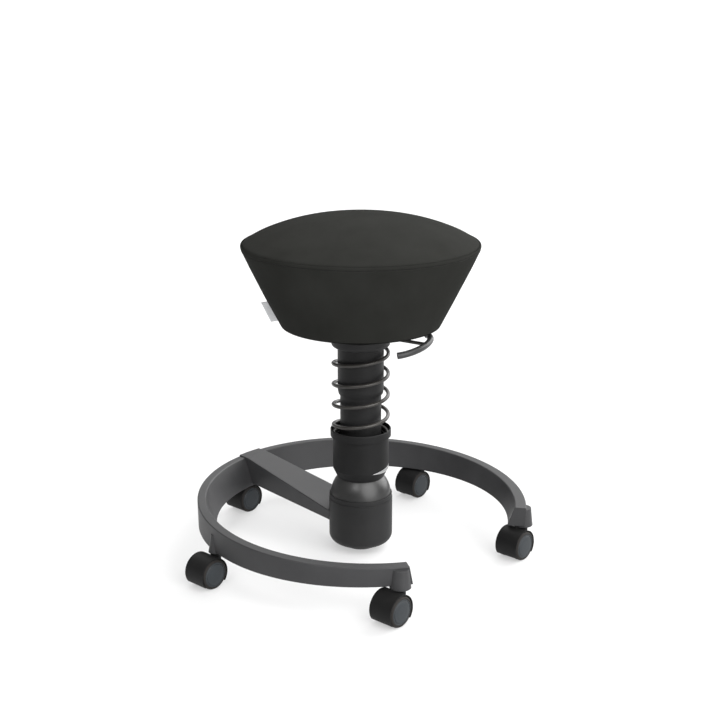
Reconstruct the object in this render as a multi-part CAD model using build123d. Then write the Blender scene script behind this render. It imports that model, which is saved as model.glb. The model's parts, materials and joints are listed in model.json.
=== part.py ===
from build123d import *

import math
import os

# Adjustable swivel stool: a round upholstered seat on a sprung, tilting column, held by one arm
# over an open ring base that rolls on twin-wheel castors. Millimetres, +Z up, the open side of the
# ring towards -Y. The model is drawn about the column axis and moved at the end, so that the
# origin lies on the floor under the middle of the footprint.

# Ring base
RING_OUTER_R = 289.5
RING_TOP_WIDTH = 17.0
RING_FOOT_OUTER_R = 289.0
RING_FOOT_INNER_R = 257.0
RING_Y = -3.1
RING_TOP_Z = 98.0
RING_TOP_SLOPE = 0.033
RING_FOOT_Z = 57.2
RING_FOOT_SLOPE = -0.006
RING_CHAMFER = 1.2
GAP_HALF_ANGLE_LOW = 32.0
GAP_HALF_ANGLE_HIGH = 33.6

# Castors: one under the arm, the others at fifths of the circle
CASTOR_ANGLES = {"front_left": -36.0, "front_right": 36.0, "left": -108.0, "right": 108.0, "back": 180.0}
STEM_CIRCLE_R = 284.0
STEM_R = 4.0
STEM_FOOT_Z = 34.0
STEM_TOP_Z = 82.0
BOSS_FOOT_Z = 54.5
BOSS_TOP_Z = 86.0
BOSS_FOOT_R = 12.0
BOSS_TOP_R = 7.0
END_BOSS_FOOT_R = 17.5
END_BOSS_TOP_R = 14.0
END_CASTORS = ("front_left", "front_right")
TRAIL = 22.0
WHEEL_R = 26.0
WHEEL_INNER_Y = 9.6
WHEEL_OUTER_Y = 24.0
TYRE_INNER_R = 21.5
TYRE_INSET = 1.6
DISC_GROOVE_R = 18.5
AXLE_R = 3.0
AXLE_HALF = 20.0
HOOD_R = 27.9
HOOD_WELL_R = 26.6
HOOD_HALF = 21.5
HOOD_WEB_HALF = 9.0
HOOD_CUT_Z = 9.0
COLLAR_R = 9.0
COLLAR_TOP_Z = 53.9

# Arm
ARM_RING_HALF_TOP = 26.0
ARM_RING_HALF_FOOT = 23.0
ARM_HUB_HALF_TOP = 41.0
ARM_HUB_HALF_FOOT = 38.0
ARM_HUB_TOP_Z = 68.0
ARM_HUB_FOOT_Z = 48.0
ARM_STEP = 2.0
ARM_EDGE_R = 1.4
ARM_SCREW_R = 4.0
ARM_SCREW_HEAD_R = 7.0
ARM_SCREW_HEAD_DEPTH = 7.0
ARM_SCREW_LENGTH = 42.0
ARM_SCREW_X = 14.0
ARM_SCREW_Z = 96.0

# Hub
HUB_R = 56.0
HUB_FOOT_Z = 13.0
HUB_TOP_Z = 96.2
HUB_CORNER_R = 16.0
HUB_FLOOR_Z = 26.0
HUB_LOW_BORE_R = 49.0
HUB_HIGH_BORE_R = 53.8
HUB_BORE_STEP_Z = 72.0
HUB_RING_TOP_Z = 104.4
HUB_RING_OUTER_R = 55.3
KNOB_R = 29.5
KNOB_FOOT_Z = 4.5
KNOB_SHANK_R = 6.0
KNOB_SHANK_TOP_Z = 46.0
KNOB_GRIPS = 12
ELASTOMER_OUTER_R = 46.0
ELASTOMER_INNER_R = 16.0
ELASTOMER_TOP_Z = 66.0

# Tilt joint
PIVOT_Z = 100.0
PIN_R = 5.0
PIN_HALF = 25.0
EAR_INNER = 17.0
EAR_OUTER = 24.0
EAR_HALF_WIDTH = 9.0
CROSS_HALF = 11.0
CROSS_HALF_HEIGHT = 8.0
POST_R = 14.0
LOWER_BRIDGE_Z = 75.0
UPPER_BRIDGE_Z = 122.0
BRIDGE_THICK = 6.0

# Column
DOME_R = 53.3
DOME_WALL = 2.5
DOME_SKIRT_Z = 88.0
WAIST_Z = 136.0
TUBE_R = 35.8
TUBE_WALL = 2.8
TUBE_TOP_Z = 331.0
CUP_FOOT_Z = 136.5
CUP_CHAMFER_Z = 152.0
CUP_FOOT_R = 41.5
CUP_R = 48.9
LIP_R = 53.0
LIP_FOOT_Z = 211.0
LIP_TOP_Z = 224.0
SPRING_SEAT_Z = 211.0
MOUTH_R = 51.2
WIRE_R = 3.1
SPRING_R = 47.6
SPRING_FOOT_Z = 214.3
SPRING_TOP_Z = 368.6
SPRING_PITCH = 37.0
SLEEVE_R = 40.0
SLEEVE_FOOT_Z = 288.0
SLEEVE_TAPER_Z = 295.0
SLEEVE_BORE_R = 37.4
BUSH_TOP_Z = 318.0
PLATE_R = 50.7
PLATE_FOOT_Z = 372.0
PLATE_TOP_Z = 387.5
PLATE_CORNER_R = 6.0
CYLINDER_R = 14.0
CYLINDER_FOOT_Z = 240.0
ROD_R = 10.0
ROD_FOOT_Z = 256.0
ROD_TOP_Z = 424.0
RELEASE_R = 4.0
RELEASE_FOOT_Z = 404.0
RELEASE_TOP_Z = 430.7
RUNNING = 0.05

# Seat
SEAT_FOOT_Z = 411.0
SEAT_FOOT_R = 135.5
SIDE_FOOT_R = 138.0
SIDE_FOOT_Z = 415.0
RIM_R = 202.0
RIM_Z = 547.5
SEAM_R = 201.0
SEAM_Z = 552.0
DOME_RISE = 47.0
DOME_POWER = 2.4
FABRIC = 1.6
SOFT_GAP = 0.35
PLATE_HALF = 75.0
PLATE_SHEET_Z = 410.0
PLATE_SHEET = 3.0
SOCKET_R = 17.0
SOCKET_FOOT_Z = 389.5
PAN_R = 127.0
PAN_FOOT_Z = 413.0
PAN_TOP_Z = 423.0
PAN_HOLE_R = 38.0
POCKET_R = 45.0
POCKET_TOP_Z = 444.0
SCREW_CIRCLE_R = 82.0
SCREW_R = 3.0
SCREW_HEAD_R = 5.5
SCREW_HEAD = 2.5
SCREW_TIP_Z = 420.0

# Release lever
LEVER_ANGLE = -81.2
LEVER_WIRE_R = 3.0
LEVER_Z = 393.5
LEVER_PIVOT_R = 32.0
LEVER_UPRIGHT_R = 22.0
LEVER_FINGER_Z = 434.0
LEVER_BEND_R = 6.0
LEVER_PIN_R = 2.0
LEVER_BLOCK = 9.0
LEVER_REACH = 128.0
GRIP_R = 5.6
GRIP_HOLLOW_R = 4.0
GRIP_HOLLOW_DEPTH = 12.0
GRIP_POINTS = (
    (108.7, -57.4, 384.0),
    (117.1, -47.5, 385.5),
    (123.7, -33.0, 387.3),
    (127.6, -17.2, 389.3),
    (128.0, 1.8, 391.5),
    (123.6, 22.6, 394.0),
    (116.5, 35.5, 395.5),
    (105.5, 43.5, 396.5),
)
CHEEK_INNER = 5.0
CHEEK_OUTER = 9.0
CHEEK_HALF = 7.0


def cylinder(radius, low, high, x=0.0, y=0.0):
    """Solid upright cylinder between two heights."""
    return Pos(x, y, (low + high) / 2) * Cylinder(radius, high - low)


def tube(outer, inner, low, high):
    """Upright tube about the column axis."""
    return cylinder(outer, low, high) - cylinder(inner, low, high)


def turned(*outline):
    """Solid of revolution about the column axis from (radius, height) points."""
    points = [(radius, 0, height) for radius, height in outline]
    return revolve(make_face(Polyline(*points, close=True)), Axis.Z)


def block(x_range, y_range, z_range):
    """Box between two limits on each axis."""
    sizes = [high - low for low, high in (x_range, y_range, z_range)]
    middle = [(low + high) / 2 for low, high in (x_range, y_range, z_range)]
    return Pos(*middle) * Box(*sizes)


def rod_along_y(radius, low, high, x=0.0, z=0.0):
    """Solid cylinder along Y between two positions."""
    return Pos(x, (low + high) / 2, z) * Rot(90, 0, 0) * Cylinder(radius, high - low)


def rod_along_x(radius, low, high, y=0.0, z=0.0):
    """Solid cylinder along X between two positions."""
    return Pos((low + high) / 2, y, z) * Rot(0, 90, 0) * Cylinder(radius, high - low)


def stem_place(angle):
    """Plan position of a castor stem; the angle is counted from the open side, -Y, towards +X."""
    turn = math.radians(angle)
    return STEM_CIRCLE_R * math.sin(turn), RING_Y - STEM_CIRCLE_R * math.cos(turn)


def ring_plane(height, slope):
    """Plane across the ring that rises towards the arm."""
    return Plane(origin=(0, RING_Y, height), z_dir=(0, -slope, 1))


def ring_blank():
    """Full ring with leaning walls, cut flat above and below on its two slopes."""
    low, high = RING_FOOT_Z - 10, RING_TOP_Z + 20
    rate_in = (RING_OUTER_R - RING_TOP_WIDTH - RING_FOOT_INNER_R) / (RING_TOP_Z - RING_FOOT_Z)
    rate_out = (RING_OUTER_R - RING_FOOT_OUTER_R) / (RING_TOP_Z - RING_FOOT_Z)
    section = turned(
        (RING_FOOT_INNER_R + rate_in * (low - RING_FOOT_Z), low),
        (RING_FOOT_OUTER_R + rate_out * (low - RING_FOOT_Z), low),
        (RING_FOOT_OUTER_R + rate_out * (high - RING_FOOT_Z), high),
        (RING_FOOT_INNER_R + rate_in * (high - RING_FOOT_Z), high),
    )
    ring = Pos(0, RING_Y, 0) * section
    ring = split(ring, bisect_by=ring_plane(RING_TOP_Z, RING_TOP_SLOPE), keep=Keep.BOTTOM)
    return split(ring, bisect_by=ring_plane(RING_FOOT_Z, RING_FOOT_SLOPE), keep=Keep.TOP)


def gap_wedge():
    """Wedge that opens the ring; its sides lean back upwards."""
    low, high, reach = RING_FOOT_Z - 20, RING_TOP_Z + 30, 2 * RING_OUTER_R
    faces = []
    for height in (low, high):
        share = (height - RING_FOOT_Z) / (RING_TOP_Z - RING_FOOT_Z)
        half = math.radians(GAP_HALF_ANGLE_LOW + share * (GAP_HALF_ANGLE_HIGH - GAP_HALF_ANGLE_LOW))
        side, ahead = reach * math.sin(half), RING_Y - reach * math.cos(half)
        corners = [(0, RING_Y, height), (side, ahead, height), (-side, ahead, height)]
        faces.append(make_face(Polyline(*corners, close=True)))
    return loft(faces, ruled=True)


def castor_boss(angle, foot_r=BOSS_FOOT_R, top_r=BOSS_TOP_R):
    """Half-sunk conical boss that takes a castor stem."""
    x, y = stem_place(angle)
    height = BOSS_TOP_Z - BOSS_FOOT_Z
    return Pos(x, y, BOSS_FOOT_Z + height / 2) * Cone(foot_r, top_r, height)


def arm_screw(side, clearance=0.0):
    """Socket screw that draws the arm against the ring from outside; its head is sunk."""
    seat_y = RING_Y + RING_FOOT_OUTER_R + 2 - ARM_SCREW_HEAD_DEPTH
    reach = RING_Y + RING_OUTER_R + 5 if clearance else seat_y + ARM_SCREW_HEAD_DEPTH - 2
    shank = rod_along_y(ARM_SCREW_R + clearance, seat_y - ARM_SCREW_LENGTH, seat_y, side * ARM_SCREW_X, ARM_SCREW_Z)
    head = rod_along_y(ARM_SCREW_HEAD_R + clearance, seat_y, reach, side * ARM_SCREW_X, ARM_SCREW_Z)
    return shank + head


def base_ring():
    """C-shaped ring with a stem boss over each castor."""
    body = ring_blank() - gap_wedge()
    long_edges = body.edges().filter_by(lambda edge: edge.length > 5 * RING_TOP_WIDTH)
    body = chamfer(long_edges, RING_CHAMFER)
    for name, angle in CASTOR_ANGLES.items():
        radii = (END_BOSS_FOOT_R, END_BOSS_TOP_R) if name in END_CASTORS else (BOSS_FOOT_R, BOSS_TOP_R)
        body += castor_boss(angle, *radii)
    body -= gap_wedge()
    for angle in CASTOR_ANGLES.values():
        body -= cylinder(STEM_R, BOSS_FOOT_Z - 1, STEM_TOP_Z, *stem_place(angle))
    for side in (-1, 1):
        body -= arm_screw(side, clearance=0.1)
    return body


def arm_section(y, half_top, half_foot, low, high):
    """Upright trapezium across the arm."""
    corners = [(-half_foot, y, low), (half_foot, y, low), (half_top, y, high), (-half_top, y, high)]
    return make_face(Polyline(*corners, close=True))


def support_arm():
    """Tapering arm from the hub to the ring; a thin lip of it lies over the ring's top."""
    inner_reach, outer_reach = RING_OUTER_R - RING_TOP_WIDTH - 6, RING_OUTER_R + 2
    hub_end = arm_section(0, ARM_HUB_HALF_TOP + 2, ARM_HUB_HALF_FOOT + 2, ARM_HUB_FOOT_Z, ARM_HUB_TOP_Z - 6)
    sections = [hub_end]
    for reach in (inner_reach, outer_reach):
        top_z = RING_TOP_Z + RING_TOP_SLOPE * reach + ARM_STEP
        sections.append(arm_section(RING_Y + reach, ARM_RING_HALF_TOP, ARM_RING_HALF_FOOT, RING_FOOT_Z + 3, top_z))
    body = loft(sections, ruled=True)
    top_edges = body.edges().filter_by(lambda edge: edge.length > RING_TOP_WIDTH and edge.center().Z > ARM_HUB_TOP_Z)
    body = fillet([edge for edge in top_edges if abs(edge.center().X) > ARM_RING_HALF_FOOT], ARM_EDGE_R)
    body = body & (Pos(0, RING_Y, 0) * cylinder(RING_OUTER_R, 0, 2 * RING_TOP_Z))
    beside = Pos(0, RING_Y, 0) * tube(RING_OUTER_R + 20, RING_OUTER_R - RING_TOP_WIDTH + 5, 0, 2 * RING_TOP_Z)
    beside = split(beside, bisect_by=ring_plane(RING_TOP_Z, RING_TOP_SLOPE), keep=Keep.BOTTOM)
    body = body - ring_blank() - beside - cylinder(HUB_R, 0, 2 * RING_TOP_Z)
    for side in (-1, 1):
        body -= arm_screw(side)
    return body - castor_boss(CASTOR_ANGLES["back"])


def castor_stems():
    """Five steel stems, pressed into the ring's bosses."""
    solids = []
    for angle in CASTOR_ANGLES.values():
        x, y = stem_place(angle)
        pin = cylinder(STEM_R, STEM_FOOT_Z, STEM_TOP_Z, x, y)
        solids.append(chamfer(pin.edges().sort_by(Axis.Z)[-1], 1.0))
    return Compound(solids)


def castor_hood(x, y):
    """Castor body: a middle web with half-round hoods over both wheels and a collar for the stem."""
    drum = rod_along_y(HOOD_R, -HOOD_HALF, HOOD_HALF, -TRAIL, WHEEL_R)
    collar = cylinder(COLLAR_R, WHEEL_R, COLLAR_TOP_Z)
    body = drum + collar
    for side in (-1, 1):
        near, far = sorted((side * HOOD_WEB_HALF, side * (HOOD_HALF + 1)))
        body -= rod_along_y(HOOD_WELL_R, near, far, -TRAIL, WHEEL_R)
    body -= block((-3 * WHEEL_R, 3 * WHEEL_R), (-WHEEL_R, WHEEL_R), (-WHEEL_R, HOOD_CUT_Z))
    body -= cylinder(STEM_R + RUNNING, STEM_FOOT_Z - 1, COLLAR_TOP_Z + 1)
    body -= rod_along_y(AXLE_R, -HOOD_HALF, HOOD_HALF, -TRAIL, WHEEL_R)
    return Pos(x, y, 0) * body


def castor_axle(x, y):
    """Axle pin of one castor."""
    return Pos(x, y, 0) * rod_along_y(AXLE_R, -AXLE_HALF, AXLE_HALF, -TRAIL, WHEEL_R)


def wheel_side(side, outline):
    """Turns (radius, distance from the castor's middle) points about a castor's axle."""
    solid = turned(*outline)
    return Pos(-TRAIL, 0, WHEEL_R) * Rot(-90 * side, 0, 0) * solid


def castor_wheel(x, y, side):
    """Wheel disc with a shallow groove round its slightly raised cap; the axle hole is blind."""
    blind = AXLE_HALF + 0.5
    outline = [
        (AXLE_R + RUNNING, WHEEL_INNER_Y),
        (TYRE_INNER_R, WHEEL_INNER_Y),
        (TYRE_INNER_R, WHEEL_OUTER_Y - 2.2),
        (DISC_GROOVE_R + 1.2, WHEEL_OUTER_Y - 1.4),
        (DISC_GROOVE_R, WHEEL_OUTER_Y - 2.2),
        (DISC_GROOVE_R - 1.2, WHEEL_OUTER_Y - 1.0),
        (0.6 * DISC_GROOVE_R, WHEEL_OUTER_Y - 0.3),
        (0, WHEEL_OUTER_Y),
        (0, blind),
        (AXLE_R + RUNNING, blind),
    ]
    return Pos(x, y, 0) * wheel_side(side, outline)


def castor_tyre(x, y, side):
    """Soft tread band round one wheel."""
    inner, outer = WHEEL_INNER_Y + 0.4, WHEEL_OUTER_Y - TYRE_INSET
    outline = [
        (TYRE_INNER_R, inner),
        (WHEEL_R - 1.5, inner),
        (WHEEL_R, inner + 2),
        (WHEEL_R, outer - 3.5),
        (WHEEL_R - 1.2, outer - 1.2),
        (WHEEL_R - 3.2, outer),
        (TYRE_INNER_R, outer),
    ]
    return Pos(x, y, 0) * wheel_side(side, outline)


def hub_housing():
    """Cup that the tilt joint stands in, with a rounded foot."""
    body = cylinder(HUB_R, HUB_FOOT_Z, HUB_TOP_Z)
    body = fillet(body.edges().sort_by(Axis.Z)[0], HUB_CORNER_R)
    body -= cylinder(HUB_LOW_BORE_R, HUB_FLOOR_Z, HUB_BORE_STEP_Z)
    body -= cylinder(HUB_HIGH_BORE_R, HUB_BORE_STEP_Z, HUB_TOP_Z)
    return body - cylinder(KNOB_SHANK_R + RUNNING, HUB_FOOT_Z, HUB_FLOOR_Z)


def hub_ring():
    """Trim ring that closes the hub round the dome."""
    ring = tube(HUB_RING_OUTER_R, HUB_HIGH_BORE_R, HUB_TOP_Z, HUB_RING_TOP_Z)
    return fillet(ring.edges().group_by(Axis.Z)[-1].sort_by(SortBy.RADIUS)[-1], 0.8)


def tension_knob():
    """Finger knob under the hub, with a threaded shank up into the lower yoke."""
    body = cylinder(KNOB_R, KNOB_FOOT_Z, HUB_FOOT_Z - 0.5)
    body = fillet(body.edges().sort_by(Axis.Z)[0], 2.5)
    for index in range(KNOB_GRIPS):
        turn = 2 * math.pi * index / KNOB_GRIPS
        x, y = (KNOB_R + 1.5) * math.cos(turn), (KNOB_R + 1.5) * math.sin(turn)
        body -= cylinder(3.0, KNOB_FOOT_Z - 1, HUB_FOOT_Z, x, y)
    return body + cylinder(KNOB_SHANK_R, HUB_FOOT_Z - 1, KNOB_SHANK_TOP_Z)


def elastomer_ring():
    """Rubber ring that pushes the tilting column upright."""
    ring = tube(ELASTOMER_OUTER_R, ELASTOMER_INNER_R, HUB_FLOOR_Z + BRIDGE_THICK, ELASTOMER_TOP_Z)
    return fillet(ring.edges().group_by(Axis.Z)[-1], 5.0)


def yoke_ears(along_x, bridge, tip):
    """Two ears with pin holes, joined by a bridge; the ears run from the bridge to the tip."""
    low, high = sorted((bridge, tip))
    body = None
    for side in (-1, 1):
        span = sorted((side * EAR_INNER, side * EAR_OUTER))
        width = (-EAR_HALF_WIDTH, EAR_HALF_WIDTH)
        ear = block(span, width, (low, high)) if along_x else block(width, span, (low, high))
        body = ear if body is None else body + ear
    far = PIN_HALF + 1
    hole = rod_along_x(PIN_R + RUNNING, -far, far, z=PIVOT_Z) if along_x else rod_along_y(
        PIN_R + RUNNING, -far, far, z=PIVOT_Z)
    return body - hole


def lower_yoke():
    """Post bolted to the hub floor, with ears for the cross's pins along X."""
    body = cylinder(ELASTOMER_OUTER_R - 2, HUB_FLOOR_Z, HUB_FLOOR_Z + BRIDGE_THICK)
    body += cylinder(POST_R, HUB_FLOOR_Z, LOWER_BRIDGE_Z)
    body += block((-EAR_OUTER, EAR_OUTER), (-EAR_HALF_WIDTH, EAR_HALF_WIDTH),
                  (LOWER_BRIDGE_Z, LOWER_BRIDGE_Z + BRIDGE_THICK))
    body += yoke_ears(True, LOWER_BRIDGE_Z, PIVOT_Z + EAR_HALF_WIDTH)
    return body - cylinder(KNOB_SHANK_R + RUNNING, HUB_FLOOR_Z, KNOB_SHANK_TOP_Z + 2)


def tilt_cross():
    """Universal-joint cross: two pins at right angles through one block."""
    body = block((-CROSS_HALF, CROSS_HALF), (-CROSS_HALF, CROSS_HALF),
                 (PIVOT_Z - CROSS_HALF_HEIGHT, PIVOT_Z + CROSS_HALF_HEIGHT))
    body += rod_along_x(PIN_R, -PIN_HALF, PIN_HALF, z=PIVOT_Z)
    return body + rod_along_y(PIN_R, -PIN_HALF, PIN_HALF, z=PIVOT_Z)


def upper_yoke():
    """Yoke over the cross, with ears for its pins along Y and a spigot up into the tube."""
    body = cylinder(TUBE_R, UPPER_BRIDGE_Z, UPPER_BRIDGE_Z + BRIDGE_THICK)
    body += yoke_ears(False, UPPER_BRIDGE_Z + 1, PIVOT_Z - EAR_HALF_WIDTH)
    return body + cylinder(TUBE_R - TUBE_WALL, UPPER_BRIDGE_Z, WAIST_Z + 14)


def dome_shroud():
    """Spherical cover about the pivot; it stays level with the hub ring however the column tilts."""
    inner_r = DOME_R - DOME_WALL
    shell = Pos(0, 0, PIVOT_Z) * (Sphere(DOME_R) - Sphere(inner_r))
    shell &= cylinder(DOME_R + 1, DOME_SKIRT_Z, WAIST_Z)
    waist_r = math.sqrt(DOME_R**2 - (WAIST_Z - PIVOT_Z) ** 2)
    return shell + tube(waist_r - 0.5, TUBE_R, WAIST_Z - DOME_WALL, WAIST_Z)


def lower_tube():
    """Inner tube of the column."""
    return tube(TUBE_R, TUBE_R - TUBE_WALL, UPPER_BRIDGE_Z + BRIDGE_THICK, TUBE_TOP_Z)


def spring_cup():
    """Turning cup under the spring, with a thicker lip round the spring's last coil."""
    inner = TUBE_R + RUNNING
    return turned(
        (inner, CUP_FOOT_Z),
        (CUP_FOOT_R, CUP_FOOT_Z),
        (CUP_R, CUP_CHAMFER_Z),
        (CUP_R, LIP_FOOT_Z - 1.5),
        (LIP_R, LIP_FOOT_Z),
        (LIP_R, LIP_TOP_Z - 1.5),
        (LIP_R - 1.0, LIP_TOP_Z),
        (MOUTH_R, LIP_TOP_Z),
        (MOUTH_R, SPRING_SEAT_Z),
        (CUP_FOOT_R, SPRING_SEAT_Z),
        (CUP_FOOT_R, CUP_CHAMFER_Z + 12),
        (inner, CUP_CHAMFER_Z + 12),
    )


def coil_spring():
    """Compression spring, coiled right-handed between the cup and the spring plate."""
    path = Pos(0, 0, SPRING_FOOT_Z) * Helix(SPRING_PITCH, SPRING_TOP_Z - SPRING_FOOT_Z, SPRING_R)
    section = Plane(origin=path @ 0, z_dir=path % 0) * Circle(WIRE_R)
    return sweep(section, path=path, is_frenet=True)


def upper_sleeve():
    """Outer tube of the column, turned down at its foot."""
    return turned(
        (SLEEVE_BORE_R, SLEEVE_FOOT_Z),
        (SLEEVE_BORE_R + 1.2, SLEEVE_FOOT_Z),
        (SLEEVE_R, SLEEVE_TAPER_Z),
        (SLEEVE_R, PLATE_FOOT_Z),
        (SLEEVE_BORE_R, PLATE_FOOT_Z),
    )


def guide_bush():
    """Plain bush in the sleeve's foot that runs on the inner tube."""
    return tube(SLEEVE_BORE_R, TUBE_R + RUNNING, SLEEVE_FOOT_Z, BUSH_TOP_Z)


def spring_plate():
    """Cap over the sleeve that the spring pushes up against; it holds the gas cylinder."""
    body = cylinder(PLATE_R, PLATE_FOOT_Z, PLATE_TOP_Z)
    body = fillet(body.edges().sort_by(Axis.Z)[0], PLATE_CORNER_R)
    body = fillet(body.edges().group_by(Axis.Z)[-1], 1.5)
    return body - cylinder(CYLINDER_R, PLATE_FOOT_Z, PLATE_TOP_Z)


def gas_cylinder():
    """Gas spring cylinder, hung from the spring plate."""
    body = cylinder(CYLINDER_R, CYLINDER_FOOT_Z, PLATE_TOP_Z)
    return body - cylinder(ROD_R + RUNNING, CYLINDER_FOOT_Z + 4, PLATE_TOP_Z)


def gas_rod():
    """Piston rod of the gas spring, with a blind hole for its release pin."""
    body = cylinder(ROD_R, ROD_FOOT_Z, ROD_TOP_Z)
    return body - cylinder(RELEASE_R + RUNNING, RELEASE_FOOT_Z - 4, ROD_TOP_Z)


def release_pin():
    """Pin that opens the gas spring when it is pushed down."""
    pin = cylinder(RELEASE_R, RELEASE_FOOT_Z, RELEASE_TOP_Z)
    return fillet(pin.edges().sort_by(Axis.Z)[-1], 1.0)


def lever_turn():
    """Turns lever shapes, drawn along +X, to the lever's place under the seat."""
    return Rot(0, 0, LEVER_ANGLE)


def screw_places():
    """Plan positions of the seat screws."""
    angles = [math.radians(45 + 90 * index) for index in range(4)]
    return [(SCREW_CIRCLE_R * math.cos(turn), SCREW_CIRCLE_R * math.sin(turn)) for turn in angles]


def seat_plate():
    """Steel plate with the socket for the gas rod and two cheeks for the lever's pin."""
    body = block((-PLATE_HALF, PLATE_HALF), (-PLATE_HALF, PLATE_HALF), (PLATE_SHEET_Z, PLATE_SHEET_Z + PLATE_SHEET))
    body += cylinder(SOCKET_R, SOCKET_FOOT_Z, ROD_TOP_Z)
    body -= cylinder(ROD_R + RUNNING, SOCKET_FOOT_Z, ROD_TOP_Z)
    for x, y in screw_places():
        body -= cylinder(SCREW_R + 0.3, PLATE_SHEET_Z, PLATE_SHEET_Z + PLATE_SHEET, x, y)
    reach = (LEVER_PIVOT_R - CHEEK_HALF, LEVER_PIVOT_R + CHEEK_HALF)
    fittings = None
    for side in (-1, 1):
        cheek = block(reach, sorted((side * CHEEK_INNER, side * CHEEK_OUTER)), (LEVER_Z - 5, PLATE_SHEET_Z))
        fittings = cheek if fittings is None else fittings + cheek
    fittings -= rod_along_y(LEVER_PIN_R, -CHEEK_OUTER, CHEEK_OUTER, LEVER_PIVOT_R, LEVER_Z)
    slot = block((SOCKET_R, LEVER_UPRIGHT_R + 2 * LEVER_WIRE_R), (-CHEEK_INNER, CHEEK_INNER), (LEVER_Z, ROD_TOP_Z))
    return body - lever_turn() * slot + lever_turn() * fittings


def lever_pin():
    """Pivot pin of the release lever."""
    return lever_turn() * rod_along_y(LEVER_PIN_R, -CHEEK_OUTER, CHEEK_OUTER, LEVER_PIVOT_R, LEVER_Z)


def lever_rod():
    """Bent wire: a finger over the release pin, an upright, and a radial leg out to the grip."""
    path = FilletPolyline(
        (-RELEASE_R, 0, LEVER_FINGER_Z),
        (LEVER_UPRIGHT_R, 0, LEVER_FINGER_Z),
        (LEVER_UPRIGHT_R, 0, LEVER_Z),
        (LEVER_REACH, 0, LEVER_Z),
        radius=LEVER_BEND_R,
    )
    section = Plane(origin=path @ 0, z_dir=path % 0) * Circle(LEVER_WIRE_R)
    half = LEVER_BLOCK / 2
    pivot = block((LEVER_PIVOT_R - half, LEVER_PIVOT_R + half), (-half, half), (LEVER_Z - half, LEVER_Z + half))
    body = sweep(section, path=path) + pivot
    body -= rod_along_y(LEVER_PIN_R + RUNNING, -CHEEK_OUTER, CHEEK_OUTER, LEVER_PIVOT_R, LEVER_Z)
    return lever_turn() * body


def lever_grip():
    """Moulded grip, a hook that drops towards its open front end and turns in at the back."""
    path = Spline(*GRIP_POINTS)
    start = Plane(origin=path @ 0, z_dir=path % 0)
    body = sweep(start * Circle(GRIP_R), path=path)
    body -= start * Pos(0, 0, GRIP_HOLLOW_DEPTH / 2) * Cylinder(GRIP_HOLLOW_R, GRIP_HOLLOW_DEPTH)
    return lever_turn() * body - lever_rod()


def seat_pan():
    """Stiff pan under the foam."""
    body = tube(PAN_R, PAN_HOLE_R, PAN_FOOT_Z, PAN_TOP_Z)
    for x, y in screw_places():
        body -= cylinder(SCREW_R, PAN_FOOT_Z, SCREW_TIP_Z, x, y)
    return body


def seat_screws():
    """Four screws that hold the pan on the plate."""
    solids = []
    for x, y in screw_places():
        shank = cylinder(SCREW_R, PLATE_SHEET_Z, SCREW_TIP_Z, x, y)
        solids.append(shank + cylinder(SCREW_HEAD_R, PLATE_SHEET_Z - SCREW_HEAD, PLATE_SHEET_Z, x, y))
    return Compound(solids)


def dome_height(radius):
    """Height of the seat's top above the seam plane, flat in the middle and steeper to the rim."""
    return SEAM_Z + DOME_RISE * (1 - (radius / SEAM_R) ** DOME_POWER)


def dome_curve(drop, rim):
    """Curve of the seat's top from the rim to the middle, lowered by a drop."""
    radii = [rim * (1 - index / 6) for index in range(7)]
    return Spline(*[(radius, 0, dome_height(radius) - drop) for radius in radii])


def dome_solid(drop, rim, *foot):
    """Solid under the seat's top curve, closed by the given (radius, height) foot points."""
    curve = dome_curve(drop, rim)
    points = [curve @ 1, *[(radius, 0, height) for radius, height in foot], curve @ 0]
    return revolve(make_face([curve, *Polyline(*points).edges()]), Axis.Z)


def seat_cover_top():
    """Domed top panel of the cover."""
    rim = SEAM_R - 0.4
    outer = dome_solid(0, rim, (0, SEAM_Z - FABRIC), (rim, SEAM_Z - FABRIC))
    return outer - dome_solid(FABRIC, rim - FABRIC, (0, SEAM_Z - 2 * FABRIC), (rim - FABRIC, SEAM_Z - 2 * FABRIC))


def seat_cover_side():
    """Tapered side panel of the cover with a hem turned in under the seat."""
    return turned(
        (SEAT_FOOT_R - 11, SEAT_FOOT_Z),
        (SEAT_FOOT_R, SEAT_FOOT_Z),
        (SIDE_FOOT_R, SIDE_FOOT_Z),
        (RIM_R, RIM_Z),
        (SEAM_R, SEAM_Z - FABRIC - 0.2),
        (SEAM_R - 2 * FABRIC, SEAM_Z - FABRIC - 0.2),
        (RIM_R - 1.4 * FABRIC, RIM_Z),
        (SIDE_FOOT_R - 1.4 * FABRIC, SIDE_FOOT_Z + 1),
        (SEAT_FOOT_R - 1, SEAT_FOOT_Z + FABRIC),
        (SEAT_FOOT_R - 11, SEAT_FOOT_Z + FABRIC),
    )


def seat_foam():
    """Moulded foam over the pan, with a pocket over the lever's finger."""
    inset = 1.4 * FABRIC + SOFT_GAP
    rate = (RIM_R - SIDE_FOOT_R) / (RIM_Z - SIDE_FOOT_Z)
    foot_r = SIDE_FOOT_R + rate * (PAN_TOP_Z + SOFT_GAP - SIDE_FOOT_Z) - inset - SOFT_GAP
    top_z = SEAM_Z - 2 * FABRIC - SOFT_GAP
    rim = SEAM_R - 2 * FABRIC - 2 * SOFT_GAP
    body = dome_solid(FABRIC + SOFT_GAP, rim - 1.5, (0, PAN_TOP_Z + SOFT_GAP), (foot_r, PAN_TOP_Z + SOFT_GAP),
                      (rim - 1.5, top_z - 4))
    return body - cylinder(POCKET_R, PAN_TOP_Z, POCKET_TOP_Z)


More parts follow.
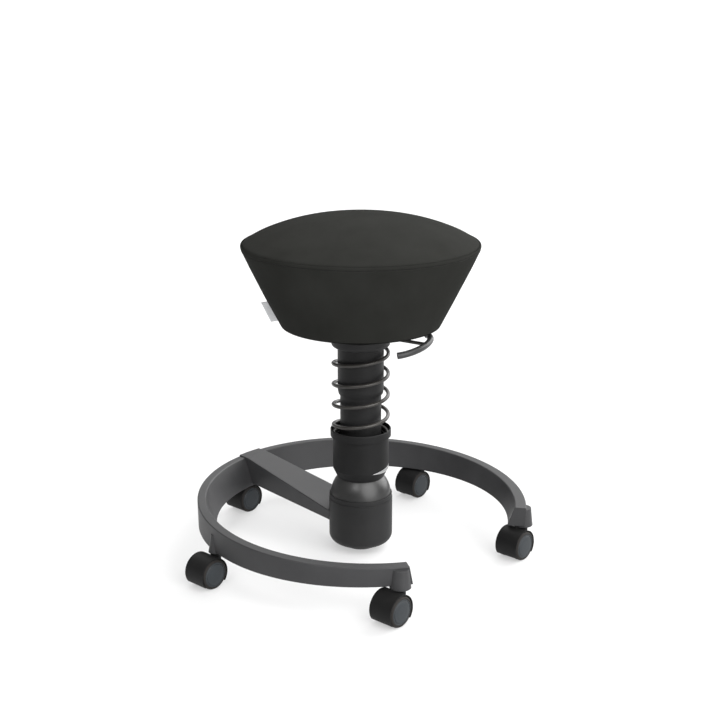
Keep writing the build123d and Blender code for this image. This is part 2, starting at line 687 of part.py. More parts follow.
def footprint_centre():
    """Middle of the box round the footprint, counted from the column axis."""
    left_x, _ = stem_place(CASTOR_ANGLES["left"])
    _, front_y = stem_place(CASTOR_ANGLES["front_left"])
    _, back_y = stem_place(CASTOR_ANGLES["back"])
    low_x = left_x - TRAIL - HOOD_R
    low_y = front_y - WHEEL_OUTER_Y
    high_y = back_y + WHEEL_OUTER_Y
    return (low_x + RING_OUTER_R) / 2, (low_y + high_y) / 2


def castor_parts():
    """Named solids of the five castors."""
    parts = {}
    for name, angle in CASTOR_ANGLES.items():
        x, y = stem_place(angle)
        parts[f"{name}_castor_hood"] = castor_hood(x, y)
        parts[f"{name}_castor_axle"] = castor_axle(x, y)
        for side, hand in ((-1, "a"), (1, "b")):
            parts[f"{name}_castor_wheel_{hand}"] = castor_wheel(x, y, side)
            parts[f"{name}_castor_tyre_{hand}"] = castor_tyre(x, y, side)
    return parts


def all_parts():
    """Every named part, about the column axis."""
    makers = [base_ring, support_arm, castor_stems, hub_housing, hub_ring, tension_knob, elastomer_ring,
              lower_yoke, tilt_cross, upper_yoke, dome_shroud, lower_tube, spring_cup, coil_spring,
              upper_sleeve, guide_bush, spring_plate, gas_cylinder, gas_rod, release_pin, seat_plate,
              lever_pin, lever_rod, lever_grip, seat_pan, seat_screws, seat_foam, seat_cover_side,
              seat_cover_top]
    parts = {maker.__name__: maker() for maker in makers}
    parts["arm_screws"] = Compound([arm_screw(-1), arm_screw(1)])
    return parts | castor_parts()


def main():
    """Writes each part to its own file, moved so that the origin is under the footprint's middle."""
    os.makedirs("parts", exist_ok=True)
    x, y = footprint_centre()
    for name, solid in all_parts().items():
        export_step(Pos(-x, -y, 0) * solid, f"parts/{name}.step")
    print("column axis at", round(-x, 3), round(-y, 3))


main()
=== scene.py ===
"""Adjustable swivel stool: fabric seat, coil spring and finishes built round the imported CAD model."""

import json
import logging
import math
from dataclasses import dataclass, field
from enum import Enum

import bmesh
import bpy
import numpy as np
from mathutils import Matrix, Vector


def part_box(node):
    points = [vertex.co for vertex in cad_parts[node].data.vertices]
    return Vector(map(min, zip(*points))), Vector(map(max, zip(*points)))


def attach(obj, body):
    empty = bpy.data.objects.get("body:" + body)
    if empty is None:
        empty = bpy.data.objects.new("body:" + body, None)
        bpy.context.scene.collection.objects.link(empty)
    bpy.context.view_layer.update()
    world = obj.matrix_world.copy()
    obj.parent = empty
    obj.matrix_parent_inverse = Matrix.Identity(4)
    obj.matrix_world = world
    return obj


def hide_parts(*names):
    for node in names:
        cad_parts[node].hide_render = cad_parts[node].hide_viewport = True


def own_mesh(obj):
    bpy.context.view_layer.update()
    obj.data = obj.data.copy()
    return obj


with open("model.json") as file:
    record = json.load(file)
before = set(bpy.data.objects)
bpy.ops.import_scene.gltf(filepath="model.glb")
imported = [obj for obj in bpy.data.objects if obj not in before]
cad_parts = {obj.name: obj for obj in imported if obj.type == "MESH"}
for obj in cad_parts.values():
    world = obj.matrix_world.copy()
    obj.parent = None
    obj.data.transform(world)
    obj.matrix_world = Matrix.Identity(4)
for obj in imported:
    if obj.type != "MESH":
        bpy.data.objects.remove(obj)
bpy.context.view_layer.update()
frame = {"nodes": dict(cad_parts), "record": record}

LOG = logging.getLogger("stool")
MM = 0.001
FULL_TURN = 2 * math.pi
DUST_COLOUR = (0.45, 0.43, 0.4, 1.0)


class Wrap(Enum):
    """Which way a grid of points closes on itself."""

    ACROSS = 1
    DOWN = 2
    BOTH = 3


# ---------------------------------------------------------------- mesh helpers


def smoothstep(low: float, high: float, value: np.ndarray) -> np.ndarray:
    """Rises from 0 at low to 1 at high with level ends.

    Args:
        low: Value where the step starts.
        high: Value where the step ends.
        value: Where the step is read.

    Returns:
        The step's height at each value.
    """
    share = np.clip((value - low) / (high - low), 0.0, 1.0)
    return share * share * (3 - 2 * share)


def grid_faces(rows: int, columns: int, wrap: Wrap) -> np.ndarray:
    """Quads between neighbouring points of a grid.

    Args:
        rows: Number of points down the grid.
        columns: Number of points across the grid.
        wrap: Which way the grid closes.

    Returns:
        Corner numbers, four to a row.
    """
    down = rows if wrap in (Wrap.DOWN, Wrap.BOTH) else rows - 1
    across = columns if wrap in (Wrap.ACROSS, Wrap.BOTH) else columns - 1
    row, column = np.meshgrid(np.arange(down), np.arange(across), indexing="ij")
    row, column = row.ravel(), column.ravel()
    next_row, next_column = (row + 1) % rows, (column + 1) % columns
    corners = [
        row * columns + column,
        row * columns + next_column,
        next_row * columns + next_column,
        next_row * columns + column,
    ]
    return np.stack(corners, axis=1)


def mesh_object(name: str, points: np.ndarray, faces: np.ndarray, closed: bool = True) -> bpy.types.Object:
    """Makes a smooth mesh object from points and quads, with its poles merged and its faces outwards.

    Args:
        name: Name of the piece.
        points: Places of the vertices, in metres.
        faces: Corner numbers of each face.
        closed: Whether the surface is a closed shell.

    Returns:
        The new object, linked to the scene.
    """
    mesh = bpy.data.meshes.new(name)
    mesh.from_pydata(points.reshape(-1, 3).tolist(), [], faces.tolist())
    shape = bmesh.new()
    shape.from_mesh(mesh)
    bmesh.ops.remove_doubles(shape, verts=shape.verts, dist=0.002 * MM)
    bmesh.ops.dissolve_degenerate(shape, edges=shape.edges, dist=0.001 * MM)
    if closed:
        bmesh.ops.recalc_face_normals(shape, faces=shape.faces)
    shape.to_mesh(mesh)
    shape.free()
    mesh.polygons.foreach_set("use_smooth", np.ones(len(mesh.polygons), dtype=bool))
    piece = bpy.data.objects.new(name, mesh)
    bpy.context.scene.collection.objects.link(piece)
    return piece


def turned_points(outline: np.ndarray, centre: Vector, segments: int) -> np.ndarray:
    """Carries an outline round an upright axis: x = r cos a, y = r sin a, z = height.

    Args:
        outline: Radius and height of each point of the outline, in metres.
        centre: A point on the axis.
        segments: Number of steps round the axis.

    Returns:
        Grid of points, one row for each outline point.
    """
    turn = np.linspace(0, FULL_TURN, segments, endpoint=False)
    radius, height = outline[:, 0:1], outline[:, 1:2]
    flat = [centre.x + radius * np.cos(turn), centre.y + radius * np.sin(turn), height + 0 * turn]
    return np.stack(flat, axis=-1)


def swept_points(path: np.ndarray, radius: np.ndarray, sides: int) -> np.ndarray:
    """Carries a circle along a path; each circle lies square to the path's tangent.

    Args:
        path: Points along the path, in metres.
        radius: Radius of the circle at each point.
        sides: Number of points round the circle.

    Returns:
        Grid of points, one row for each path point.
    """
    tangent = np.gradient(path, axis=0)
    tangent /= np.linalg.norm(tangent, axis=1, keepdims=True)
    side = np.cross(tangent, np.array([0.0, 0.0, 1.0]))
    side /= np.linalg.norm(side, axis=1, keepdims=True)
    over = np.cross(side, tangent)
    turn = np.linspace(0, FULL_TURN, sides, endpoint=False)
    spread = side[:, None, :] * np.cos(turn)[None, :, None] + over[:, None, :] * np.sin(turn)[None, :, None]
    return path[:, None, :] + radius[:, None, None] * spread


def rounded_outline(corners: list[tuple[float, float, float]], steps: int = 6) -> np.ndarray:
    """Polyline with each corner replaced by a curve: c(t) = (1-t)^2 a + 2t(1-t) corner + t^2 b.

    Args:
        corners: Radius, height and cut-back distance of each corner.
        steps: Number of points on each rounded corner.

    Returns:
        Radius and height of each point.
    """
    points = np.array([corner[:2] for corner in corners])
    share = np.linspace(0, 1, steps)[:, None]
    pieces = [points[:1]]
    for index in range(1, len(corners) - 1):
        back, ahead = points[index - 1] - points[index], points[index + 1] - points[index]
        cut = corners[index][2]
        if cut <= 0:
            pieces.append(points[index : index + 1])
            continue
        start = points[index] + back / np.linalg.norm(back) * cut
        end = points[index] + ahead / np.linalg.norm(ahead) * cut
        pieces.append((1 - share) ** 2 * start + 2 * share * (1 - share) * points[index] + share**2 * end)
    pieces.append(points[-1:])
    return np.concatenate(pieces)


# ---------------------------------------------------------------- shader tools


class Graph:
    """Short way to place and join shader nodes in one tree."""

    def __init__(self, tree: bpy.types.NodeTree) -> None:
        """Keeps the tree.

        Args:
            tree: Node tree of a material or of a node group.
        """
        self.tree = tree

    def add(self, kind: str, values: dict | None = None, **settings: object) -> bpy.types.Node:
        """Adds a node.

        Args:
            kind: Blender's type name of the node.
            values: Input values by socket name or number; a socket given as a value is joined.
            **settings: Properties of the node itself.

        Returns:
            The new node.
        """
        node = self.tree.nodes.new(kind)
        for name, value in settings.items():
            setattr(node, name, value)
        for socket, value in (values or {}).items():
            self.put(node.inputs[socket], value)
        return node

    def put(self, socket: bpy.types.NodeSocket, value: object) -> None:
        """Joins a socket to another socket, or gives it a value.

        Args:
            socket: Input socket.
            value: Output socket, number, colour or vector.
        """
        if isinstance(value, bpy.types.NodeSocket):
            self.tree.links.new(value, socket)
        else:
            socket.default_value = value

    def math(self, operation: str, first: object, second: object = 0.0) -> bpy.types.NodeSocket:
        """Adds a Math node.

        Args:
            operation: Name of the operation.
            first: First number or socket.
            second: Second number or socket.

        Returns:
            The node's output.
        """
        return self.add("ShaderNodeMath", {0: first, 1: second}, operation=operation).outputs[0]

    def blend(self, share: object, first: object, second: object) -> bpy.types.NodeSocket:
        """Mixes two colours.

        Args:
            share: Share of the second colour.
            first: First colour.
            second: Second colour.

        Returns:
            The mixed colour.
        """
        node = self.add("ShaderNodeMix", data_type="RGBA")
        self.put(node.inputs[0], share)
        self.put(node.inputs[6], first)
        self.put(node.inputs[7], second)
        return node.outputs[2]

    def ramp(self, value: object, low: float, high: float, start: float, end: float) -> bpy.types.NodeSocket:
        """Maps a range of numbers on to another, and keeps to its ends.

        Args:
            value: Number or socket.
            low: Lower end of the range read.
            high: Upper end of the range read.
            start: Result at the lower end.
            end: Result at the upper end.

        Returns:
            The mapped number.
        """
        values = {0: value, 1: low, 2: high, 3: start, 4: end}
        return self.add("ShaderNodeMapRange", values, interpolation_type="SMOOTHSTEP").outputs[0]


class Effect(Enum):
    """Shared surface effects, each a shader node group."""

    GRAIN = "surface_grain"
    WEAR = "edge_wear"
    DUST = "settled_dust"
    WEAVE = "fine_weave"
    TURNED = "turning_marks"


class EffectLibrary:
    """Builds each shared effect once and hands it to the materials."""

    def __init__(self) -> None:
        """Starts with no effect built."""
        self.groups: dict[Effect, bpy.types.NodeTree] = {}

    def group(self, effect: Effect) -> bpy.types.NodeTree:
        """Returns an effect's node group, building it the first time.

        Args:
            effect: Which effect.

        Returns:
            The node group.
        """
        if effect not in self.groups:
            makers = {
                Effect.GRAIN: self._grain,
                Effect.WEAR: self._wear,
                Effect.DUST: self._dust,
                Effect.WEAVE: self._weave,
                Effect.TURNED: self._turned,
            }
            self.groups[effect] = makers[effect]()
        return self.groups[effect]

    def place(self, graph: Graph, effect: Effect, values: dict) -> bpy.types.Node:
        """Places an effect in a material.

        Args:
            graph: The material's graph.
            effect: Which effect.
            values: The group's inputs.

        Returns:
            The group node.
        """
        node = graph.tree.nodes.new("ShaderNodeGroup")
        node.node_tree = self.group(effect)
        for name, value in values.items():
            graph.put(node.inputs[name], value)
        return node

    @staticmethod
    def _start(name: str, inputs: dict[str, str], outputs: dict[str, str]) -> tuple[Graph, dict, bpy.types.Node]:
        """Makes an empty group with its sockets.

        Args:
            name: Name of the group.
            inputs: Socket type by input name.
            outputs: Socket type by output name.

        Returns:
            The graph, the input sockets by name, and the output node.
        """
        tree = bpy.data.node_groups.new(name, "ShaderNodeTree")
        for socket, kind in inputs.items():
            tree.interface.new_socket(name=socket, in_out="INPUT", socket_type=kind)
        for socket, kind in outputs.items():
            tree.interface.new_socket(name=socket, in_out="OUTPUT", socket_type=kind)
        graph = Graph(tree)
        source = graph.add("NodeGroupInput")
        sink = graph.add("NodeGroupOutput")
        return graph, {socket: source.outputs[socket] for socket in inputs}, sink

    def _grain(self) -> bpy.types.NodeTree:
        """Moulded or powder-coated grain: fine lumps on a slow variation.

        Returns:
            The node group.
        """
        number, vector = "NodeSocketFloat", "NodeSocketVector"
        graph, given, sink = self._start(
            Effect.GRAIN.value, {"Vector": vector, "Scale": number}, {"Height": number, "Tone": number}
        )
        fine = graph.add("ShaderNodeTexNoise", {"Vector": given["Vector"], "Scale": given["Scale"], "Detail": 3.0})
        cells = graph.add("ShaderNodeTexVoronoi", {"Vector": given["Vector"], "Scale": given["Scale"]})
        cells.feature = "SMOOTH_F1"
        slow = graph.add("ShaderNodeTexNoise", {"Vector": given["Vector"], "Scale": 14.0, "Detail": 4.0})
        lumps = graph.math("MULTIPLY", cells.outputs["Distance"], 0.6)
        graph.put(sink.inputs["Height"], graph.math("ADD", fine.outputs["Fac"], lumps))
        mixed = graph.math("ADD", graph.math("MULTIPLY", fine.outputs["Fac"], 0.35), slow.outputs["Fac"])
        graph.put(sink.inputs["Tone"], graph.ramp(mixed, 0.4, 0.95, 0.0, 1.0))
        return graph.tree

    def _wear(self) -> bpy.types.NodeTree:
        """Edge wear: where a rounded normal leaves the true one, broken up by noise.

        Returns:
            The node group.
        """
        number, vector = "NodeSocketFloat", "NodeSocketVector"
        graph, given, sink = self._start(
            Effect.WEAR.value, {"Vector": vector, "Radius": number}, {"Mask": number, "Normal": vector}
        )
        rounded = graph.add("ShaderNodeBevel", {"Radius": given["Radius"]}, samples=6)
        true = graph.add("ShaderNodeNewGeometry")
        values = {0: rounded.outputs[0], 1: true.outputs["Normal"]}
        dot = graph.add("ShaderNodeVectorMath", values, operation="DOT_PRODUCT").outputs["Value"]
        edge = graph.ramp(dot, 0.995, 0.8, 0.0, 1.0)
        patch = graph.add("ShaderNodeTexNoise", {"Vector": given["Vector"], "Scale": 55.0, "Detail": 6.0})
        broken = graph.ramp(patch.outputs["Fac"], 0.42, 0.62, 0.0, 1.0)
        graph.put(sink.inputs["Mask"], graph.math("MULTIPLY", edge, broken))
        graph.put(sink.inputs["Normal"], rounded.outputs[0])
        return graph.tree

    def _dust(self) -> bpy.types.NodeTree:
        """Light dust on faces that look up.

        Returns:
            The node group.
        """
        number, vector = "NodeSocketFloat", "NodeSocketVector"
        graph, given, sink = self._start(Effect.DUST.value, {"Vector": vector}, {"Mask": number})
        true = graph.add("ShaderNodeNewGeometry")
        up = graph.add("ShaderNodeSeparateXYZ", {0: true.outputs["Normal"]}).outputs["Z"]
        cloud = graph.add("ShaderNodeTexNoise", {"Vector": given["Vector"], "Scale": 30.0, "Detail": 8.0})
        speck = graph.add("ShaderNodeTexNoise", {"Vector": given["Vector"], "Scale": 900.0, "Detail": 2.0})
        cover = graph.math("MULTIPLY", graph.ramp(up, 0.1, 1.0, 0.0, 1.0), cloud.outputs["Fac"])
        specks = graph.ramp(speck.outputs["Fac"], 0.5, 0.75, 0.3, 1.0)
        graph.put(sink.inputs["Mask"], graph.math("MULTIPLY", cover, specks))
        return graph.tree

    def _weave(self) -> bpy.types.NodeTree:
        """Fine cloth: two crossed sets of threads, each wavering, with short fibres over them.

        Returns:
            The node group.
        """
        number, vector = "NodeSocketFloat", "NodeSocketVector"
        graph, given, sink = self._start(
            Effect.WEAVE.value, {"Vector": vector, "Threads": number}, {"Height": number, "Tone": number}
        )
        waver = graph.add("ShaderNodeTexNoise", {"Vector": given["Vector"], "Scale": 120.0, "Detail": 2.0})
        shift = graph.add("ShaderNodeVectorMath", {0: waver.outputs["Color"], 3: 0.0006}, operation="SCALE")
        moved = graph.add("ShaderNodeVectorMath", {0: given["Vector"], 1: shift.outputs[0]}, operation="ADD")
        heights = []
        for direction in ("X", "Y"):
            values = {"Vector": moved.outputs[0], "Scale": given["Threads"], "Distortion": 0.4, "Detail": 1.0}
            wave = graph.add("ShaderNodeTexWave", values, bands_direction=direction)
            heights.append(wave.outputs["Fac"])
        cloth = graph.math("MAXIMUM", heights[0], heights[1])
        fibre = graph.add("ShaderNodeTexNoise", {"Vector": given["Vector"], "Scale": 1500.0, "Detail": 3.0})
        height = graph.math("ADD", graph.math("MULTIPLY", cloth, 0.55), fibre.outputs["Fac"])
        graph.put(sink.inputs["Height"], height)
        slow = graph.add("ShaderNodeTexNoise", {"Vector": given["Vector"], "Scale": 11.0, "Detail": 5.0})
        tone = graph.math("ADD", graph.math("MULTIPLY", height, 0.5), slow.outputs["Fac"])
        graph.put(sink.inputs["Tone"], graph.ramp(tone, 0.55, 1.35, 0.0, 1.0))
        return graph.tree

    def _turned(self) -> bpy.types.NodeTree:
        """Fine marks of a lathe or a drawing die: bands along Z.

        Returns:
            The node group.
        """
        number, vector = "NodeSocketFloat", "NodeSocketVector"
        graph, given, sink = self._start(
            Effect.TURNED.value, {"Vector": vector, "Scale": number}, {"Height": number, "Tone": number}
        )
        stretch = graph.add("ShaderNodeMapping", {"Vector": given["Vector"], "Scale": (0.03, 0.03, 1.0)})
        values = {"Vector": stretch.outputs[0], "Scale": given["Scale"], "Detail": 5.0}
        lines = graph.add("ShaderNodeTexNoise", values)
        graph.put(sink.inputs["Height"], lines.outputs["Fac"])
        graph.put(sink.inputs["Tone"], graph.ramp(lines.outputs["Fac"], 0.3, 0.7, 0.0, 1.0))
        return graph.tree


@dataclass(frozen=True)
class Finish:
    """One surface finish: colours, gloss, grain and wear."""

    name: str
    dark: tuple[float, float, float]
    light: tuple[float, float, float]
    roughness: tuple[float, float] = (0.45, 0.6)
    metallic: float = 0.0
    effect: Effect = Effect.GRAIN
    scale: float = 1400.0
    bump: float = 0.15
    bump_depth: float = 0.05 * MM
    edge: float = 0.5 * MM
    worn: tuple[float, float, float] = (0.16, 0.16, 0.16)
    wear: float = 0.5
    dust: float = 0.06
    sheen: float = 0.0
    coat: float = 0.0
    specular: float = 0.5

    def material(self, effects: EffectLibrary) -> bpy.types.Material:
        """Builds the material.

        Args:
            effects: Library of shared effects.

        Returns:
            The material.
        """
        material = bpy.data.materials.new(self.name)
        material.use_nodes = True
        material.node_tree.nodes.clear()
        graph = Graph(material.node_tree)
        place = graph.add("ShaderNodeTexCoord")
        where = place.outputs["Object"]
        key = "Threads" if self.effect is Effect.WEAVE else "Scale"
        body = effects.place(graph, self.effect, {"Vector": where, key: self.scale})
        edge = effects.place(graph, Effect.WEAR, {"Vector": where, "Radius": self.edge})
        dust = effects.place(graph, Effect.DUST, {"Vector": where})
        colour = graph.blend(body.outputs["Tone"], (*self.dark, 1.0), (*self.light, 1.0))
        rubbed = graph.math("MULTIPLY", edge.outputs["Mask"], self.wear)
        colour = graph.blend(rubbed, colour, (*self.worn, 1.0))
        dusty = graph.math("MULTIPLY", dust.outputs["Mask"], self.dust)
        colour = graph.blend(dusty, colour, DUST_COLOUR)
        rough = graph.ramp(body.outputs["Tone"], 0.0, 1.0, self.roughness[0], self.roughness[1])
        rough = graph.math("ADD", rough, graph.math("MULTIPLY", dusty, 0.5))
        bump = graph.add("ShaderNodeBump", {"Strength": self.bump, "Distance": self.bump_depth})
        graph.put(bump.inputs["Height"], body.outputs["Height"])
        graph.put(bump.inputs["Normal"], edge.outputs["Normal"])
        shader = graph.add("ShaderNodeBsdfPrincipled")
        shader.inputs["Metallic"].default_value = self.metallic
        shader.inputs["Sheen Weight"].default_value = self.sheen
        shader.inputs["Sheen Roughness"].default_value = 0.55
        shader.inputs["Coat Weight"].default_value = self.coat
        shader.inputs["Coat Roughness"].default_value = 0.25
        shader.inputs["Specular IOR Level"].default_value = self.specular
        graph.put(shader.inputs["Base Color"], colour)
        graph.put(shader.inputs["Roughness"], rough)
        graph.put(shader.inputs["Normal"], bump.outputs[0])
        graph.add("ShaderNodeOutputMaterial", {"Surface": shader.outputs[0]})
        return material


FINISHES = {
    "anthracite_powder_coat": Finish(
        "anthracite_powder_coat", (0.029, 0.029, 0.0302), (0.039, 0.039, 0.0406), (0.44, 0.54), scale=1900.0,
        bump=0.25, bump_depth=0.06 * MM, edge=1.0 * MM, wear=0.12, dust=0.03, specular=0.28,
    ),
    "black_plastic": Finish(
        "black_moulded_plastic", (0.009, 0.009, 0.0092), (0.0145, 0.0145, 0.015), (0.48, 0.6), scale=2600.0,
        bump=0.3, edge=0.6 * MM, wear=0.15, dust=0.03, specular=0.25,
    ),
    "satin_black_plastic": Finish(
        "satin_dome_plastic", (0.012, 0.012, 0.0122), (0.018, 0.0178, 0.0172), (0.38, 0.44), scale=900.0,
        bump=0.03, coat=0.15, wear=0.1, specular=0.5,
    ),
    "black_tube_coat": Finish(
        "matt_tube_coat", (0.007, 0.007, 0.0071), (0.0115, 0.0115, 0.0118), (0.46, 0.56), effect=Effect.TURNED,
        scale=1600.0, bump=0.08, wear=0.2, dust=0.03, specular=0.18,
    ),
    "black_steel": Finish(
        "coated_spring_steel", (0.022, 0.0205, 0.019), (0.038, 0.0355, 0.0325), (0.26, 0.36), metallic=0.3,
        scale=1100.0, bump=0.12, edge=0.3 * MM, wear=0.3, worn=(0.2, 0.18, 0.16),
    ),
    "bright_steel": Finish(
        "turned_steel", (0.4, 0.4, 0.41), (0.56, 0.56, 0.57), (0.24, 0.36), metallic=1.0, effect=Effect.TURNED,
        scale=3000.0, bump=0.1, edge=0.25 * MM, wear=0.3, worn=(0.7, 0.7, 0.7), dust=0.02,
    ),
    "rubber": Finish(
        "moulded_rubber", (0.012, 0.012, 0.012), (0.02, 0.02, 0.0195), (0.65, 0.8), scale=1500.0, bump=0.4,
        edge=0.8 * MM, wear=0.1, dust=0.12, specular=0.3,
    ),
    "tyre": Finish(
        "castor_tread", (0.009, 0.008, 0.0075), (0.017, 0.0145, 0.013), (0.6, 0.75), scale=1700.0, bump=0.35,
        edge=0.6 * MM, wear=0.2, worn=(0.05, 0.046, 0.043), dust=0.08, specular=0.25,
    ),
    "castor_black_plastic": Finish(
        "castor_hood_nylon", (0.004, 0.004, 0.0041), (0.0078, 0.0078, 0.008), (0.46, 0.58), scale=2200.0,
        bump=0.25, edge=0.6 * MM, wear=0.15, worn=(0.07, 0.07, 0.07), dust=0.03, specular=0.16,
    ),
    "castor_disc": Finish(
        "castor_disc_nylon", (0.019, 0.0225, 0.0255), (0.0275, 0.0318, 0.036), (0.42, 0.55), scale=1900.0,
        bump=0.2, edge=0.6 * MM, wear=0.2, specular=0.25,
    ),
    "seat_foam": Finish(
        "open_cell_foam", (0.45, 0.42, 0.33), (0.6, 0.57, 0.47), (0.8, 0.95), scale=700.0, bump=0.8,
        bump_depth=0.3 * MM, wear=0.0,
    ),
    "black_fabric": Finish(
        "black_microfibre", (0.0148, 0.015, 0.0135), (0.0232, 0.0236, 0.0218), (0.8, 0.92), effect=Effect.WEAVE,
        scale=420.0, bump=0.35, bump_depth=0.1 * MM, edge=0.8 * MM, worn=(0.035, 0.035, 0.033), wear=0.08,
        dust=0.02, specular=0.02,
    ),
}
THREAD = Finish(
    "seat_thread", (0.006, 0.006, 0.0055), (0.014, 0.014, 0.013), (0.55, 0.7), scale=3500.0, bump=0.5, wear=0.0,
    sheen=0.02, specular=0.2,
)
LABEL = Finish(
    "woven_label", (0.58, 0.59, 0.6), (0.74, 0.75, 0.76), (0.7, 0.85), effect=Effect.WEAVE, scale=700.0,
    bump=0.5, bump_depth=0.08 * MM, edge=0.2 * MM, worn=(0.4, 0.4, 0.4), sheen=0.1,
)
# Lever grip: a glossier, lighter copy of the black plastic; the gloss is real, and the lighter colour is a painted
# highlight.
GRIP_GLOSS_AND_PAINTED_HIGHLIGHT = Finish(
    "lever_grip_gloss_and_painted_highlight", (0.018, 0.018, 0.0182), (0.027, 0.027, 0.0275), (0.36, 0.46), scale=2000.0, bump=0.15,
    edge=0.4 * MM, wear=0.1, dust=0.02, specular=0.42,
)
# Spring cup: a darker copy of the black plastic; the darker colour is painted shade.
CUP_PAINTED_SHADE = Finish(
    "cup_painted_shade_plastic", (0.0065, 0.0065, 0.0066), (0.0105, 0.0105, 0.0108), (0.5, 0.62), scale=2600.0, bump=0.3,
    edge=0.6 * MM, wear=0.12, dust=0.02, specular=0.16,
)
FOIL = Finish(
    "plain_silver_foil", (0.42, 0.42, 0.42), (0.6, 0.6, 0.6), (0.3, 0.42), metallic=0.9, scale=1200.0, bump=0.1,
    edge=0.1 * MM, worn=(0.3, 0.3, 0.3),
)


def dress(piece: bpy.types.Object, material: bpy.types.Material) -> None:
    """Gives an object one material in all its slots.

    Args:
        piece: Object to dress.
        material: Its material.
    """
    count = max(1, len(piece.data.materials))
    piece.data.materials.clear()
    for _ in range(count):
        piece.data.materials.append(material)


# ---------------------------------------------------------------- seat


@dataclass
class Seat:
    """Upholstered seat: a domed cushion, a tapered side panel, their seam and a sewn-in label."""

    axis: Vector
    effects: EffectLibrary
    dome_power: float = 2.4
    fabric: float = 1.6 * MM
    taper: float = 66.5 * MM
    sides: int = 288
    pad_sides: int = 144
    stitch_length: float = 3.4 * MM
    stitch_gap: float = 1.3 * MM
    label_turn: float = math.radians(129.8)
    rim: float = field(init=False)
    seam_z: float = field(init=False)
    top_z: float = field(init=False)
    foot_z: float = field(init=False)
    foot_r: float = field(init=False)
    seam_r: float = field(init=False)

    def __post_init__(self) -> None:
        """Reads the seat's size from the frame."""
        side_low, side_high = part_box("seat_cover_side")
        top_low, top_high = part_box("seat_cover_top")
        self.rim = (side_high.x - side_low.x) / 2
        self.seam_r = (top_high.x - top_low.x) / 2
        self.seam_z = top_low.z + self.fabric
        self.top_z = top_high.z
        self.foot_z = side_low.z
        self.foot_r = self.rim - self.taper

    def dome(self, radius: np.ndarray) -> np.ndarray:
        """Height of the dome: seam height plus rise times one less (radius / seam radius) to a power.

        Args:
            radius: Distance from the axis.

        Returns:
            Height of the seat's top there.
        """
        share = np.clip(radius / self.seam_r, 0, 1)
        return self.seam_z + (self.top_z - self.seam_z) * (1 - share**self.dome_power)

    def cushion_mesh(self) -> bpy.types.Object:
        """Closed pad under the dome, a little low so that it can swell into shape.

        Returns:
            The pad.
        """
        radius = self.seam_r * np.sin(np.linspace(0, math.pi / 2, 40))
        top = np.stack([radius, self.dome(radius) - 1.5 * MM * (1 - (radius / self.seam_r) ** 6)], axis=1)
        under = [(self.seam_r - 1.5 * MM, self.seam_z - 4 * MM), (self.seam_r - 9 * MM, self.seam_z - 7 * MM)]
        inward = np.linspace(self.seam_r - 14 * MM, 0, 24)
        floor = np.stack([inward, np.full_like(inward, self.seam_z - 8 * MM)], axis=1)
        outline = np.concatenate([top, np.array(under), floor])
        points = turned_points(outline, self.axis, self.pad_sides)
        return mesh_object("seat_cushion", points, grid_faces(len(outline), self.pad_sides, Wrap.ACROSS))

    def swell(self, pad: bpy.types.Object, frames: int = 20, cap: float = 1.6 * MM) -> None:
        """Blows the pad up with cloth simulation, keeps each point near its place, and applies the result.

        Args:
            pad: Pad to blow up.
            frames: Frames simulated.
            cap: Furthest that a point may move.
        """
        bpy.context.view_layer.objects.active = pad
        pad.select_set(True)
        pad.data.remesh_voxel_size = 5 * MM
        bpy.ops.object.voxel_remesh()
        start = np.zeros(len(pad.data.vertices) * 3, dtype=np.float32)
        pad.data.vertices.foreach_get("co", start)
        start = start.reshape(-1, 3)
        cloth = pad.modifiers.new("swell", "CLOTH")
        cloth.settings.use_pressure = True
        cloth.settings.uniform_pressure_force = 4.0
        cloth.settings.effector_weights.gravity = 0.0
        cloth.settings.quality = 5
        cloth.settings.tension_stiffness = 30
        cloth.settings.bending_stiffness = 4
        cloth.point_cache.frame_end = frames
        for step in range(1, frames + 1):
            bpy.context.scene.frame_set(step)
        graph = bpy.context.evaluated_depsgraph_get()
        shaped = pad.evaluated_get(graph)
        moved = np.zeros(len(shaped.data.vertices) * 3, dtype=np.float32)
        shaped.data.vertices.foreach_get("co", moved)
        shift = moved.reshape(-1, 3) - start
        length = np.linalg.norm(shift, axis=1, keepdims=True)
        shift *= np.minimum(1.0, cap / np.maximum(length, 1e-9))
        upper = smoothstep(self.seam_z + 1 * MM, self.seam_z + 12 * MM, start[:, 2:3])
        pad.modifiers.remove(cloth)
        pad.data.vertices.foreach_set("co", (start + shift * upper).astype(np.float32).ravel())
        bpy.context.scene.frame_set(1)

    def settle(self, pad: bpy.types.Object) -> None:
        """Pulls the pad's rim down into the seam: the last few millimetres of radius drop as a square.

        Args:
            pad: Finished pad.
        """
        count = len(pad.data.vertices)
        place = np.zeros(count * 3, dtype=np.float32)
        pad.data.vertices.foreach_get("co", place)
        place = place.reshape(-1, 3)
        radius = np.hypot(place[:, 0] - self.axis.x, place[:, 1] - self.axis.y)
        near = smoothstep(self.seam_r - 7 * MM, self.seam_r, radius) ** 2
        place[:, 2] -= np.where(place[:, 2] > self.seam_z - 2 * MM, near * 1.4 * MM, 0).astype(np.float32)
        pad.data.vertices.foreach_set("co", place.ravel())
        pad.data.update()
        pad.data.polygons.foreach_set("use_smooth", np.ones(len(pad.data.polygons), dtype=bool))

    def cushion(self) -> bpy.types.Object:
        """Domed cushion, blown up by cloth simulation and finished with one subdivision.

        Returns:
            The cushion.
        """
        pad = self.cushion_mesh()
        self.swell(pad)
        self.settle(pad)
        smooth = pad.modifiers.new("smooth", "SUBSURF")
        smooth.levels = smooth.render_levels = 1
        dress(pad, FINISHES["black_fabric"].material(self.effects))
        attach(pad, "seat")
        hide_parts("seat_cover_top", "seat_foam")
        return pad

